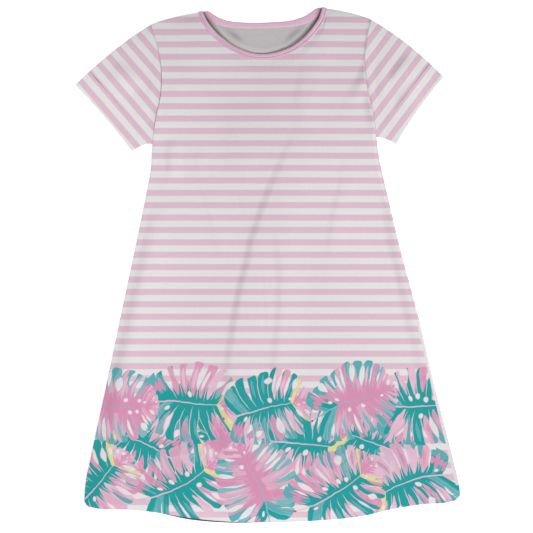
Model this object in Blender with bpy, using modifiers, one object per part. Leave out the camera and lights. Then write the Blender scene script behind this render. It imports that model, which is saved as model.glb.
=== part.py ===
"""A child's short-sleeved A-line dress in cotton jersey, laid flat on its back.

X runs across the dress, Y runs from the hem up to the shoulders and Z is up.
The origin is under the middle of the dress, on the surface that it lies on.
Five sewn pieces are built: front, back, two sleeves and the neck binding.
"""

import math
from collections import namedtuple

import bmesh
import bpy
from mathutils import Vector

MM = 0.001

# Cloth, in metres.
JERSEY = 0.0012  # wall of the panels and sleeves
BINDING = 0.0015  # the folded strip round the neck is thicker
BINDING_WIDTH = 0.0070
BINDING_ROUNDING = 0.0004
SEAM_GAP = 0.0003  # between pieces that are sewn together
FRONT_LAYER = 0.0018  # underside of everything in the upper layer
AIR = 0.0008  # how far the front stands off the back away from its seams
SLEEVE_HEIGHT = 0.0033  # a sleeve, flattened, over all
SLEEVE_FOLD = 0.0013  # wall of a sleeve at its two folded edges
SLEEVE_CROWN = 0.35  # how a sleeve's top rounds off to its folded edges: less is flatter
SLEEVE_HOLLOW = 0.6  # the same for the space inside it
SLEEVE_REST = 4.0  # how soon a sleeve's underside lies flat, in from its folded edges
SHOULDER_BULGE = 0.0020  # how far the shoulder seam bows outwards

# The neck, at the two high points of the shoulders where the binding turns over.
NECK_LEFT = Vector((-0.0836, 0.3244))
NECK_RIGHT = Vector((0.0696, 0.3296))
END_TURN = 0.10  # share of the neck over which the binding swings in line with the shoulder
EDGE_STEP = 0.004  # share of an edge over which its direction is taken

# How finely each piece is divided.
FRONT_GRID = {"shoulder": 7, "neck": 24, "skirt": 20, "armhole": 14}
BACK_GRID = {"shoulder": 4, "neck": 24, "skirt": 14, "armhole": 14}
SLEEVE_AROUND = 24
SLEEVE_ALONG = 9
BINDING_ALONG = 48
BINDING_TURN = 6
# How the divisions crowd towards both ends: 0 spaces them evenly, and 1 crowds them most.
EDGE_CLOSENESS = 0.5
NECK_CLOSENESS = 0.4
ARMHOLE_CLOSENESS = 0.2

# Cross-sections of the body from hem to shoulder: where each meets the two sides, in mm.
Section = namedtuple("Section", "name left_x left_y right_x right_y")
SECTIONS = (
    Section("hem corner", -235.9, -303.6, 246.5, -295.5),
    Section("above the hem", -234.4, -283.0, 244.8, -283.0),
    Section("lower skirt", -226.5, -243.0, 235.4, -243.0),
    Section("leaf border", -208.1, -157.5, 213.7, -157.5),
    Section("mid skirt", -190.1, -71.0, 193.8, -71.0),
    Section("upper skirt", -169.5, 26.0, 168.1, 26.0),
    Section("waist", -155.9, 92.0, 153.1, 90.0),
    Section("chest", -150.3, 124.0, 142.6, 137.0),
    Section("armpit", -148.3, 155.0, 139.0, 164.0),
    Section("lower armhole", -143.5, 189.0, 135.2, 189.0),
    Section("inner armhole", -137.4, 218.0, 127.4, 224.0),
    Section("mid armhole", -136.4, 245.0, 123.9, 252.0),
    Section("upper armhole", -141.2, 280.0, 125.6, 285.0),
    Section("shoulder tip", -150.3, 308.1, 131.5, 315.3),
)
ARMPIT = 8  # its row in SECTIONS

# How far the hem hangs below a straight line between its corners, in mm.
Hem = namedtuple("Hem", "across front back")
HEM = (
    Hem(0.000, 0.0, 0.0),
    Hem(0.007, 5.5, 5.5),
    Hem(0.025, 8.5, 8.5),
    Hem(0.110, 11.7, 11.7),
    Hem(0.180, 15.2, 15.2),
    Hem(0.280, 23.6, 26.0),
    Hem(0.380, 29.1, 30.8),
    Hem(0.500, 31.1, 31.1),
    Hem(0.620, 29.9, 29.9),
    Hem(0.740, 25.0, 25.0),
    Hem(0.820, 16.8, 16.8),
    Hem(0.900, 11.2, 11.2),
    Hem(0.975, 8.2, 8.2),
    Hem(0.993, 5.0, 5.0),
    Hem(1.000, 0.0, 0.0),
)

# How far the neck opening drops below a straight line between its two high points, in mm.
Neck = namedtuple("Neck", "across front back")
NECK = (
    Neck(0.00, 0.0, 0.0),
    Neck(0.05, 13.5, 1.5),
    Neck(0.12, 27.5, 6.0),
    Neck(0.22, 41.0, 12.0),
    Neck(0.35, 51.8, 15.0),
    Neck(0.50, 56.4, 16.2),
    Neck(0.65, 52.6, 15.2),
    Neck(0.78, 43.2, 11.4),
    Neck(0.88, 30.4, 5.6),
    Neck(0.95, 16.5, 0.9),
    Neck(1.00, 0.0, 0.0),
)

# The free edges of each sleeve, in mm. Each via point is where its edge bows to halfway.
Sleeve = namedtuple("Sleeve", "name top_via cuff_top cuff_via cuff_end under_via")
SLEEVES = (
    Sleeve(
        "sleeve_left",
        (-198.5, 274.5),
        (-246.6, 231.9),
        (-211.5, 191.5),
        (-174.1, 145.1),
        (-161.5, 152.9),
    ),
    Sleeve(
        "sleeve_right",
        (178.5, 284.0),
        (224.2, 242.6),
        (191.5, 199.8),
        (164.1, 155.0),
        (152.5, 160.8),
    ),
)

# The largest folds of the front: a ridge from one end by way of its bend to the other, in mm.
Fold = namedtuple("Fold", "name start bend end reach height")
FOLDS = (
    Fold("long diagonal", (43, 180), (-22, 48), (-52, -125), 13, 2.6),
    Fold("beside it", (8, 28), (22, -44), (-8, -136), 16, 1.4),
    Fold("right chest", (97, 140), (88, 72), (75, -6), 17, 1.2),
    Fold("left chest", (-90, 104), (-79, 58), (-64, 8), 15, 1.1),
    Fold("middle of the chest", (-56, 196), (-57, 140), (-38, 86), 18, 1.1),
    Fold("under the right arm", (122, 226), (101, 218), (74, 198), 12, 1.5),
    Fold("under the left arm", (-126, 232), (-112, 212), (-96, 180), 12, 1.3),
    Fold("hem, left", (-98, -334), (-106, -276), (-96, -206), 20, 1.6),
    Fold("hem, right", (118, -326), (112, -270), (92, -196), 22, 1.4),
    Fold("hem, middle", (22, -334), (18, -296), (26, -246), 18, 1.0),
)
FOLD_STEPS = 14
SIDE_FADE = 0.07  # share of the width in which the front comes down to its side seams
HEM_FADE = 0.03
NECK_FADE = 0.05

JERSEY_WHITE = (0.73, 0.72, 0.71, 1.0)
STRIPE_PINK = (0.69, 0.47, 0.60, 1.0)
BINDING_PINK = (0.70, 0.45, 0.58, 1.0)


def ease(share):
    """Turns an even share, held between 0 and 1, into one that starts and stops gently."""
    held = min(max(share, 0.0), 1.0)
    return held * held * (3.0 - 2.0 * held)


def spread(start, end, steps, closeness):
    """Places from start to end in so many steps, which crowd at both ends."""
    places = []
    for i in range(steps + 1):
        share = i / steps
        share -= closeness * math.sin(math.tau * share) / math.tau
        places.append(start + (end - start) * share)
    return places


def curve_at(places, values, at):
    """Reads a smooth curve that passes through each value at its place."""
    last = len(places) - 1
    i = 0
    while i < last - 1 and at > places[i + 1]:
        i += 1
    rises = [(values[k + 1] - values[k]) / (places[k + 1] - places[k]) for k in range(last)]

    def slope(k):
        if k in (0, last):
            return rises[min(k, last - 1)]
        before = places[k] - places[k - 1]
        after = places[k + 1] - places[k]
        return (rises[k - 1] * after + rises[k] * before) / (before + after)

    length = places[i + 1] - places[i]
    t = (at - places[i]) / length
    start = values[i] * (1 + 2 * t) * (1 - t) ** 2 + slope(i) * length * t * (1 - t) ** 2
    end = values[i + 1] * t * t * (3 - 2 * t) - slope(i + 1) * length * t * t * (1 - t)
    return start + end


def bowed(start, via, end, share):
    """Reads an edge that bows from start through via, at its middle, to end."""
    control = via * 2 - (start + end) / 2
    return start * (1 - share) ** 2 + control * 2 * share * (1 - share) + end * share**2


LEFT_POINTS = [Vector((s.left_x, s.left_y)) * MM for s in SECTIONS]
RIGHT_POINTS = [Vector((s.right_x, s.right_y)) * MM for s in SECTIONS]


def section_places():
    """How far up the body each section lies, as a share of the length of its sides."""
    run = [0.0]
    for k in range(1, len(SECTIONS)):
        left = (LEFT_POINTS[k] - LEFT_POINTS[k - 1]).length
        right = (RIGHT_POINTS[k] - RIGHT_POINTS[k - 1]).length
        run.append(run[-1] + (left + right) / 2)
    return [r / run[-1] for r in run]


PLACES = section_places()


def side(points, up):
    """A point of the left or right edge of the body, a share of the way up."""
    return curve_at(PLACES, points, up)


def neck_edge(layer, across):
    """A point of the edge of the neck opening, on the front or back layer."""
    drops = [getattr(n, layer) for n in NECK]
    drop = curve_at([n.across for n in NECK], drops, across) * MM
    return NECK_LEFT.lerp(NECK_RIGHT, across) - Vector((0.0, drop))


def shoulder_line(at_left):
    """The direction of a shoulder, from the neck outwards."""
    if at_left:
        return (LEFT_POINTS[-1] - NECK_LEFT).normalized()
    return (RIGHT_POINTS[-1] - NECK_RIGHT).normalized()


def into_cloth(layer, across):
    """The direction from the neck opening into the cloth, square to the edge but at its ends."""
    before = neck_edge(layer, max(across - EDGE_STEP, 0.0))
    after = neck_edge(layer, min(across + EDGE_STEP, 1.0))
    along = (after - before).normalized()
    square = Vector((along.y, -along.x))
    from_end = min(across, 1.0 - across) / END_TURN
    swing = 1.0 - ease(from_end)
    return square.lerp(shoulder_line(across < 0.5), swing).normalized()


def neck_of_panel(layer, across):
    """A point of the panel's own neck edge, where the binding's outer edge meets it."""
    away = into_cloth(layer, across) * (BINDING_WIDTH + SEAM_GAP)
    return neck_edge(layer, across) + away


def neck_corners(layer):
    """How far across the top the neck of a panel begins and ends, as shares of the width."""
    left, right = LEFT_POINTS[-1].x, RIGHT_POINTS[-1].x
    begin = neck_of_panel(layer, 0.0).x
    end = neck_of_panel(layer, 1.0).x
    return (begin - left) / (right - left), (end - left) / (right - left)


def top_edge(layer, across):
    """A point of a panel's top: one shoulder, the neck and the other shoulder."""
    begin, end = neck_corners(layer)
    if begin <= across <= end:
        turned = (across - begin) / (end - begin)
        return neck_of_panel(layer, min(max(turned, 0.0), 1.0))
    if across < begin:
        start, stop, share = LEFT_POINTS[-1], neck_of_panel(layer, 0.0), across / begin
    else:
        share = (across - end) / (1.0 - end)
        start, stop = neck_of_panel(layer, 1.0), RIGHT_POINTS[-1]
    along = (stop - start).normalized()
    outwards = Vector((-along.y, along.x))
    return start.lerp(stop, share) + outwards * (SHOULDER_BULGE * 4 * share * (1 - share))


def hem_edge(layer, across):
    """A point of a panel's hem."""
    drops = [getattr(h, layer) for h in HEM]
    drop = curve_at([h.across for h in HEM], drops, across) * MM
    return LEFT_POINTS[0].lerp(RIGHT_POINTS[0], across) - Vector((0.0, drop))


def on_panel(layer, across, up):
    """A point of a panel, worked out from its four edges."""
    line = side(LEFT_POINTS, up).lerp(side(RIGHT_POINTS, up), across)
    hem_line = LEFT_POINTS[0].lerp(RIGHT_POINTS[0], across)
    top_line = LEFT_POINTS[-1].lerp(RIGHT_POINTS[-1], across)
    low = (hem_edge(layer, across) - hem_line) * (1 - up)
    high = (top_edge(layer, across) - top_line) * up
    return line + low + high


def fold_line(fold):
    """Points along the crest of a fold."""
    ends = [Vector(p) * MM for p in (fold.start, fold.bend, fold.end)]
    return [bowed(*ends, i / FOLD_STEPS) for i in range(FOLD_STEPS + 1)]


FOLD_LINES = [fold_line(fold) for fold in FOLDS]


def fold_lift(place):
    """How high the folds raise the front at a place."""
    lift = 0.0
    for fold, line in zip(FOLDS, FOLD_LINES):
        away = [(place - p).length for p in line]
        nearest = min(range(len(line)), key=away.__getitem__)
        fade = math.sin(math.pi * (nearest + 0.5) / len(line))
        lift += fold.height * MM * fade * math.exp(-((away[nearest] / (fold.reach * MM)) ** 2))
    return lift


def front_height(place, across, up):
    """The height of the front's underside."""
    from_side = ease(min(across, 1.0 - across) / SIDE_FADE)
    from_neck = ease((1.0 - up) / NECK_FADE)
    from_hem = ease(up / HEM_FADE)
    air = AIR * from_side * from_neck * from_hem
    return FRONT_LAYER + air + fold_lift(place) * from_side * from_neck


def back_height(place, across, up):
    """The back lies flat on the surface."""
    return 0.0


def material(name, colour, roughness=0.9):
    """A plain cloth finish."""
    made = bpy.data.materials.new(name)
    made.use_nodes = True
    shader = made.node_tree.nodes["Principled BSDF"]
    shader.inputs["Base Color"].default_value = colour
    shader.inputs["Roughness"].default_value = roughness
    shader.inputs["Metallic"].default_value = 0.0
    return made


def add_object(name, form, collection, finish):
    """Makes an object of a bmesh, in the dress's own collection."""
    mesh = bpy.data.meshes.new(name)
    form.to_mesh(mesh)
    form.free()
    mesh.shade_smooth()
    mesh.materials.append(finish)
    piece = bpy.data.objects.new(name, mesh)
    collection.objects.link(piece)
    return piece


def panel(name, layer, grid, height, collection, finish):
    """The front or back: a grid stretched over the outline, then given its wall."""
    begin, end = neck_corners(layer)
    columns = spread(0.0, begin, grid["shoulder"], EDGE_CLOSENESS)[:-1]
    columns += spread(begin, end, grid["neck"], NECK_CLOSENESS)[:-1]
    columns += spread(end, 1.0, grid["shoulder"], EDGE_CLOSENESS)
    rows = spread(0.0, PLACES[ARMPIT], grid["skirt"], EDGE_CLOSENESS)[:-1]
    rows += spread(PLACES[ARMPIT], 1.0, grid["armhole"], ARMHOLE_CLOSENESS)
    form = bmesh.new()
    across_steps, up_steps = len(columns) - 1, len(rows) - 1
    bmesh.ops.create_grid(form, x_segments=across_steps, y_segments=up_steps, size=1.0)
    for v in form.verts:
        across = columns[round((v.co.x + 1) / 2 * across_steps)]
        up = rows[round((v.co.y + 1) / 2 * up_steps)]
        place = on_panel(layer, across, up)
        v.co = (place.x, place.y, height(place, across, up))
    wall = add_object(name, form, collection, finish).modifiers.new("wall", "SOLIDIFY")
    wall.thickness = JERSEY
    wall.offset = 1.0
    wall.use_even_offset = True


def loft(rings):
    """A closed skin over rings of the same number of points, the last joined to the first."""
    form = bmesh.new()
    made = [[form.verts.new(p) for p in ring] for ring in rings]
    around = len(rings[0])
    for near, far in zip(made, made[1:] + made[:1]):
        for i in range(around):
            j = (i + 1) % around
            form.faces.new((near[i], near[j], far[j], far[i]))
    bmesh.ops.recalc_face_normals(form, faces=form.faces)
    return form


def armhole(points, share):
    """A point just outside the armhole, from the shoulder tip down to the armpit."""
    up = 1.0 + (PLACES[ARMPIT] - 1.0) * share
    ahead = side(points, min(up + EDGE_STEP, 1.0))
    behind = side(points, up - EDGE_STEP)
    along = (ahead - behind).normalized()
    outwards = Vector((-along.y, along.x))
    if points is RIGHT_POINTS:
        outwards = -outwards
    return side(points, up) + outwards * SEAM_GAP


def sleeve_height(rise, inside):
    """The height of a flattened sleeve's wall: flat below, softly crowned above."""
    if inside:
        return JERSEY + (SLEEVE_HEIGHT - 2 * JERSEY) * max(rise, 0.0) ** SLEEVE_HOLLOW
    half = SLEEVE_HEIGHT / 2
    if rise >= 0:
        return half + half * rise**SLEEVE_CROWN
    return half - half * min(1.0, -rise * SLEEVE_REST)


def sleeve(row, points, collection, finish):
    """A flattened tube from the armhole to the cuff: out along its outside, back along its inside."""
    via, cuff_top, cuff_via, cuff_end, under = (Vector(p) * MM for p in row[1:])
    shoulder, armpit = armhole(points, 0.0), armhole(points, 1.0)

    def place_at(out, down):
        top = bowed(shoulder, via, cuff_top, out)
        bottom = bowed(armpit, under, cuff_end, out)
        seam = armhole(points, down) - shoulder.lerp(armpit, down)
        cuff = bowed(cuff_top, cuff_via, cuff_end, down) - cuff_top.lerp(cuff_end, down)
        return top.lerp(bottom, down) + seam * (1 - out) + cuff * out

    def ring_at(out, inside):
        inset = SLEEVE_FOLD / (place_at(out, 0.0) - place_at(out, 1.0)).length if inside else 0.0
        ring = []
        for i in range(SLEEVE_AROUND):
            turn = math.tau * i / SLEEVE_AROUND
            down = inset + (1 - 2 * inset) * (1 - math.cos(turn)) / 2
            height = sleeve_height(math.sin(turn), inside)
            ring.append(place_at(out, down).to_3d() + Vector((0.0, 0.0, height)))
        return ring

    stations = [k / SLEEVE_ALONG for k in range(SLEEVE_ALONG + 1)]
    rings = [ring_at(out, inside=False) for out in stations]
    rings += [ring_at(out, inside=True) for out in reversed(stations)]
    add_object(row.name, loft(rings), collection, finish)


def binding_ring(edge, into, out):
    """A section of the binding: edge is on the opening, into points into the cloth, out is up."""
    half, soft = BINDING / 2, BINDING_ROUNDING
    corners = (
        (0.0, soft - half),
        (0.0, half - soft),
        (soft, half),
        (BINDING_WIDTH - soft, half),
        (BINDING_WIDTH, half - soft),
        (BINDING_WIDTH, soft - half),
        (BINDING_WIDTH - soft, -half),
        (soft, -half),
    )
    return [edge + into * width + out * depth for width, depth in corners]


def binding_layer(layer, middle, out):
    """The sections of the binding along the front or the back, from left to right."""
    rings = []
    for across in spread(0.0, 1.0, BINDING_ALONG, NECK_CLOSENESS):
        edge = neck_edge(layer, across).to_3d() + Vector((0.0, 0.0, middle))
        rings.append(binding_ring(edge, into_cloth(layer, across).to_3d(), out))
    return rings


def binding_turn(high_point, at_left, upper, lower):
    """The sections where the binding turns over the shoulder, from the front to the back."""
    into = shoulder_line(at_left).to_3d()
    beyond = Vector((into.y, -into.x, 0.0)) if at_left else Vector((-into.y, into.x, 0.0))
    middle = Vector((high_point.x, high_point.y, (upper + lower) / 2))
    radius = (upper - lower) / 2
    rings = []
    for i in range(1, BINDING_TURN):
        turn = math.pi * i / BINDING_TURN
        out = beyond * math.sin(turn) + Vector((0.0, 0.0, math.cos(turn)))
        rings.append(binding_ring(middle + out * radius, into, out))
    return rings


def neck_binding(collection, finish):
    """One strip sewn round the whole neck opening."""
    upper = FRONT_LAYER + BINDING / 2
    lower = BINDING / 2
    front = binding_layer("front", upper, Vector((0.0, 0.0, 1.0)))
    back = binding_layer("back", lower, Vector((0.0, 0.0, -1.0)))
    rings = front
    rings += binding_turn(NECK_RIGHT, False, upper, lower)
    rings += back[::-1]
    rings += binding_turn(NECK_LEFT, True, upper, lower)[::-1]
    add_object("neck_binding", loft(rings), collection, finish)


def build():
    for old in list(bpy.data.objects):
        bpy.data.objects.remove(old, do_unlink=True)
    dress = bpy.data.collections.new("a_line_dress")
    bpy.context.scene.collection.children.link(dress)
    white = material("white cotton jersey", JERSEY_WHITE)
    striped = material("striped cotton jersey", STRIPE_PINK)
    pink = material("pink jersey binding", BINDING_PINK)
    panel("back_panel", "back", BACK_GRID, back_height, dress, white)
    panel("front_panel", "front", FRONT_GRID, front_height, dress, white)
    for row, points in zip(SLEEVES, (LEFT_POINTS, RIGHT_POINTS)):
        sleeve(row, points, dress, striped)
    neck_binding(dress, pink)


build()
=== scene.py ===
import math
import random

import bmesh
import bpy
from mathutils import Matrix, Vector, noise


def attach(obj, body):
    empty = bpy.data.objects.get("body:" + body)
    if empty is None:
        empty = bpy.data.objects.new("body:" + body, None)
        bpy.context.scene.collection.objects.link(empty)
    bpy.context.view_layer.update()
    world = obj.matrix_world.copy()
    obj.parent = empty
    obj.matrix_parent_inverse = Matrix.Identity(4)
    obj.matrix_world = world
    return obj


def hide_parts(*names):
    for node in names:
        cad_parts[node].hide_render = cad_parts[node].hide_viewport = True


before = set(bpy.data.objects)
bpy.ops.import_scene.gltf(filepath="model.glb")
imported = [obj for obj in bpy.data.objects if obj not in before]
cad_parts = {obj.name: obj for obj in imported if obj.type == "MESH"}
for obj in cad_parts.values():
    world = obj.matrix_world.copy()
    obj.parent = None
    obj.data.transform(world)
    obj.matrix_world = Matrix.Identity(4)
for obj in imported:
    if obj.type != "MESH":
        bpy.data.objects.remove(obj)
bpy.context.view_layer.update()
mm = 0.001


def linear(code):  # an sRGB hex colour as the linear one that Blender wants
    channels = [int(code[i:i + 2], 16) / 255 for i in (1, 3, 5)]
    return [c / 12.92 if c <= 0.04045 else ((c + 0.055) / 1.055) ** 2.4 for c in channels] + [1.0]


def addNode(tree, kind, settings=None, **links):  # a link's name is its socket, with _ for a space
    node = tree.nodes.new(kind)
    for setting, value in (settings or {}).items():
        setattr(node, setting, value)
    for link, value in links.items():
        key = int(link[1:]) if link[0] == "n" and link[1:].isdigit() else link.replace("_", " ")
        socket = node.inputs[key]
        if isinstance(value, bpy.types.NodeSocket):
            tree.links.new(value, socket)
        else:
            socket.default_value = value
    return node


def reckon(tree, action, *given):  # the result of a math node
    inputs = {f"n{i}": value for i, value in enumerate(given)}
    return addNode(tree, "ShaderNodeMath", {"operation": action}, **inputs).outputs[0]


def mixInks(tree, share, first, second, way="MIX"):  # a colour between two, or another blend of them
    settings = {"data_type": "RGBA", "blend_type": way}
    return addNode(tree, "ShaderNodeMix", settings, n0=share, n6=first, n7=second).outputs[2]


def remap(tree, value, start, end, toStart=0.0, toEnd=1.0, way="LINEAR"):  # start to end becomes 0 to 1
    return addNode(tree, "ShaderNodeMapRange", {"interpolation_type": way}, Value=value, From_Min=start,
                   From_Max=end, To_Min=toStart, To_Max=toEnd).outputs[0]


def unevenness(tree, coords, scale, detail):  # soft noise
    return addNode(tree, "ShaderNodeTexNoise", {"noise_dimensions": "3D"}, Vector=coords, Scale=scale,
                   Detail=detail).outputs[0]


def measured(tree, name):  # a measure that the mesh carries
    return addNode(tree, "ShaderNodeAttribute", {"attribute_name": name}).outputs["Fac"]


def setShader(material, values):  # one look all over, straight on the shader's sockets
    material.use_nodes = True
    shader = material.node_tree.nodes["Principled BSDF"]
    for socket, value in values.items():
        shader.inputs[socket].default_value = value
    return shader


def ease(share):  # starts and stops gently
    held = min(max(share, 0.0), 1.0)
    return held * held * (3 - 2 * held)


def spread(start, end, steps, closeness=0.0):  # places that crowd at both ends
    shares = [i / steps for i in range(steps + 1)]
    return [start + (end - start) * (s - closeness * math.sin(math.tau * s) / math.tau) for s in shares]


def curveAt(places, values, at):  # a smooth curve through each value at its place
    last = len(places) - 1
    i = 0
    while i < last - 1 and at > places[i + 1]:
        i += 1
    rises = [(values[k + 1] - values[k]) / (places[k + 1] - places[k]) for k in range(last)]

    def slope(k):
        if k in (0, last):
            return rises[min(k, last - 1)]
        before = places[k] - places[k - 1]
        after = places[k + 1] - places[k]
        return (rises[k - 1] * after + rises[k] * before) / (before + after)

    length = places[i + 1] - places[i]
    t = (at - places[i]) / length
    start = values[i] * (1 + 2 * t) * (1 - t) ** 2 + slope(i) * length * t * (1 - t) ** 2
    return start + values[i + 1] * t * t * (3 - 2 * t) - slope(i + 1) * length * t * t * (1 - t)


def rowAt(rows, column, at):  # a column of a table, read between its rows; the first one holds the places
    return curveAt([row[0] for row in rows], [row[column] for row in rows], at)


def bowed(start, via, end, share):  # an edge that bows from start through via to end
    control = via * 2 - (start + end) / 2
    return start * (1 - share) ** 2 + control * 2 * share * (1 - share) + end * share ** 2


def nearLine(line, x, y):  # how far a place is to the left of a line as one walks it, and how far along
    best, along, side = 1e9, 0.0, 1.0
    for i in range(len(line) - 1):
        ax, ay = line[i]
        bx, by = line[i + 1]
        dx, dy = bx - ax, by - ay
        t = min(max(((x - ax) * dx + (y - ay) * dy) / (dx * dx + dy * dy), 0.0), 1.0)
        away = math.hypot(x - ax - dx * t, y - ay - dy * t)
        if away < best:
            best, along = away, (i + t) / (len(line) - 1)
            side = 1.0 if dx * (y - ay) > dy * (x - ax) else -1.0
    return best * side, along


def gridPlaces(form, across, up):  # makes a grid, and gives each vertex with its column and its row
    bmesh.ops.create_grid(form, x_segments=across, y_segments=up, size=1.0)
    for v in form.verts:
        yield v, round((v.co.x + 1) / 2 * across), round((v.co.y + 1) / 2 * up)


def closeUp(form):  # joins a rolled-up grid along its edges, faces outwards
    bmesh.ops.remove_doubles(form, verts=form.verts, dist=1e-6)
    bmesh.ops.recalc_face_normals(form, faces=form.faces)


def finishPiece(name, form, materials):  # a bmesh becomes a smooth piece that rides on the dress
    for edge in form.edges:  # the rim of the cloth stays crisp
        edge.smooth = not edge.is_boundary
    mesh = bpy.data.meshes.new(name)
    form.to_mesh(mesh)
    form.free()
    mesh.shade_smooth()
    for material in materials:
        mesh.materials.append(material)
    piece = bpy.data.objects.new(name, mesh)
    bpy.context.scene.collection.objects.link(piece)
    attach(piece, "root")
    return piece


def thicken(piece, wall, offset, insideSlots=0):  # cloth gets its wall from a live modifier
    shell = piece.modifiers.new("cloth wall", "SOLIDIFY")
    shell.thickness = wall
    shell.offset = offset
    shell.use_even_offset = False
    shell.material_offset = insideSlots
    shell.use_rim = True


# The body: where its cross-sections meet the two sides, from hem to shoulder, in mm.
body = {
    "sides": (
        (-235.9, -303.6, 246.5, -295.5),  # hem corners
        (-234.4, -283.0, 244.8, -283.0),
        (-226.5, -243.0, 235.4, -243.0),
        (-208.1, -157.5, 213.7, -157.5),
        (-190.1, -71.0, 193.8, -71.0),
        (-169.5, 26.0, 168.1, 26.0),
        (-155.9, 92.0, 153.1, 90.0),
        (-150.3, 124.0, 142.6, 137.0),
        (-148.3, 155.0, 139.0, 164.0),  # armpits
        (-143.5, 189.0, 135.2, 189.0),
        (-137.4, 218.0, 127.4, 224.0),
        (-136.4, 245.0, 123.9, 252.0),
        (-141.2, 280.0, 125.6, 285.0),
        (-150.3, 308.1, 131.5, 315.3),  # shoulder tips
    ),
    "armpit": 8,  # its row above
    "hem": (  # across, and how far the front and the back hang below their corners
        (0.000, 0.0, 0.0), (0.007, 5.5, 5.5), (0.025, 8.5, 8.5), (0.110, 11.7, 11.7), (0.180, 15.2, 15.2),
        (0.280, 23.6, 26.0), (0.380, 29.1, 30.8), (0.500, 31.1, 31.1), (0.620, 29.9, 29.9),
        (0.740, 25.0, 25.0), (0.820, 16.8, 16.8), (0.900, 11.2, 11.2), (0.975, 8.2, 8.2),
        (0.993, 5.0, 5.0), (1.000, 0.0, 0.0),
    ),
    "neckLeft": (-83.6, 324.4),
    "neckRight": (69.6, 329.6),
    "neck": (  # across, and how far the front and the back drop below the two points above
        (0.000, 0.0, 0.0), (0.030, 10.0, -1.2), (0.055, 16.0, -0.6), (0.085, 22.0, 2.6), (0.130, 29.3, 7.2),
        (0.180, 35.7, 10.5), (0.225, 41.2, 12.6), (0.315, 48.7, 14.6), (0.410, 54.2, 15.8),
        (0.500, 56.2, 16.2), (0.600, 54.9, 15.8), (0.690, 51.2, 15.3), (0.750, 47.4, 14.4),
        (0.810, 41.2, 12.0), (0.865, 33.9, 8.8), (0.910, 26.4, 4.6), (0.950, 18.2, 0.4), (0.975, 11.8, -0.5),
        (1.000, 0.0, 0.0),
    ),
    "neckRise": (  # across, how far the front edge of the neck lifts off, and how far its painted shade reaches
        (0.00, 0.0, 7.0), (0.03, 1.2, 11.0), (0.08, 2.0, 9.5), (0.16, 2.0, 5.2), (0.28, 1.7, 2.3),
        (0.40, 1.4, 1.7), (0.50, 1.3, 1.3), (0.60, 1.4, 1.5), (0.72, 1.7, 1.9), (0.84, 2.0, 3.1),
        (0.92, 2.0, 5.8), (0.97, 1.2, 8.0), (1.00, 0.0, 9.0),
    ),
    "neckReach": 55.0,  # how far into the front that is felt
    "shoulderBulge": 2.0,
    "seamGap": 0.06,  # between the panel and the binding
    "wall": 0.9,
    "frontLayer": 1.5,  # underside of the front at its open edges
    "length": 660.0,
    "columns": (33, 92, 33),  # left shoulder, neck, right shoulder
    "rows": (150, 52),  # skirt, armhole
}

leftPoints = [Vector(row[:2]) * mm for row in body["sides"]]
rightPoints = [Vector(row[2:]) * mm for row in body["sides"]]
neckLeft, neckRight = Vector(body["neckLeft"]) * mm, Vector(body["neckRight"]) * mm
layerColumn = {"front": 1, "back": 2}

runs = [0.0]  # how far up the sides each row lies
for k in range(1, len(leftPoints)):
    step = (leftPoints[k] - leftPoints[k - 1]).length + (rightPoints[k] - rightPoints[k - 1]).length
    runs.append(runs[-1] + step / 2)
sidePlaces = [r / runs[-1] for r in runs]
armpitPlace = sidePlaces[body["armpit"]]

binding = {
    "width": (  # across, and how wide it looks on the front and on the back
        (0.00, 6.2, 5.6), (0.03, 6.4, 8.2), (0.08, 7.0, 9.8), (0.16, 7.0, 9.0), (0.27, 7.0, 7.6),
        (0.40, 7.0, 7.0), (0.60, 7.0, 7.0), (0.73, 7.0, 7.6), (0.84, 7.0, 9.0), (0.92, 7.4, 9.8),
        (0.97, 7.6, 8.0), (1.00, 6.6, 5.2),
    ),
    "usualWidth": 7.0,
    "thickness": 1.5,
    "outline": (  # its section: from the opening into the cloth, and out; a seam sinks in at 4.8
        (7.00, 0.00), (6.90, 0.42), (6.50, 0.62), (5.60, 0.66), (5.05, 0.46), (4.80, -0.05), (4.55, 0.48),
        (4.00, 0.82), (2.80, 0.94), (1.40, 0.88), (0.50, 0.62), (0.08, 0.20), (0.00, -0.12), (0.25, -0.52),
        (0.80, -0.72), (2.20, -0.75), (4.00, -0.75), (5.80, -0.75), (6.60, -0.68), (6.95, -0.38),
    ),
    "endTurn": 0.10,  # share of the neck over which it swings in line with the shoulder
    "stations": 150,  # along the front, and again along the back
    "turnStations": 10,
    "frontShade": (0.64, -7.0, 55.0, 12.0),  # painted shade: how lit its front is, about where, how far, and its soft end
}


def sideAt(points, up):
    return curveAt(sidePlaces, points, up)


def neckEdge(layer, across):
    drop = rowAt(body["neck"], layerColumn[layer], across) * mm
    return neckLeft.lerp(neckRight, across) - Vector((0.0, drop))


def shoulderLine(atLeft):
    if atLeft:
        return (leftPoints[-1] - neckLeft).normalized()
    return (rightPoints[-1] - neckRight).normalized()


def intoCloth(layer, across):  # from the neck opening into the cloth
    before, after = neckEdge(layer, max(across - 0.004, 0.0)), neckEdge(layer, min(across + 0.004, 1.0))
    along = (after - before).normalized()
    swing = 1 - ease(min(across, 1 - across) / binding["endTurn"])
    return Vector((along.y, -along.x)).lerp(shoulderLine(across < 0.5), swing).normalized()


def bindingWidth(layer, across):
    return rowAt(binding["width"], layerColumn[layer], across)


def neckOfPanel(layer, across):
    away = bindingWidth(layer, across) + body["seamGap"]
    return neckEdge(layer, across) + intoCloth(layer, across) * away * mm


def neckRise(across):
    return rowAt(body["neckRise"], 1, across)


openingLine = [tuple(neckEdge("front", i / 96) / mm) for i in range(97)]


def neckShade(x, y):  # 0 under the front edge of the neck, and 1 where its painted deep shade ends
    away, along = nearLine(openingLine, x, y)
    return away / rowAt(body["neckRise"], 2, along)
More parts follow.
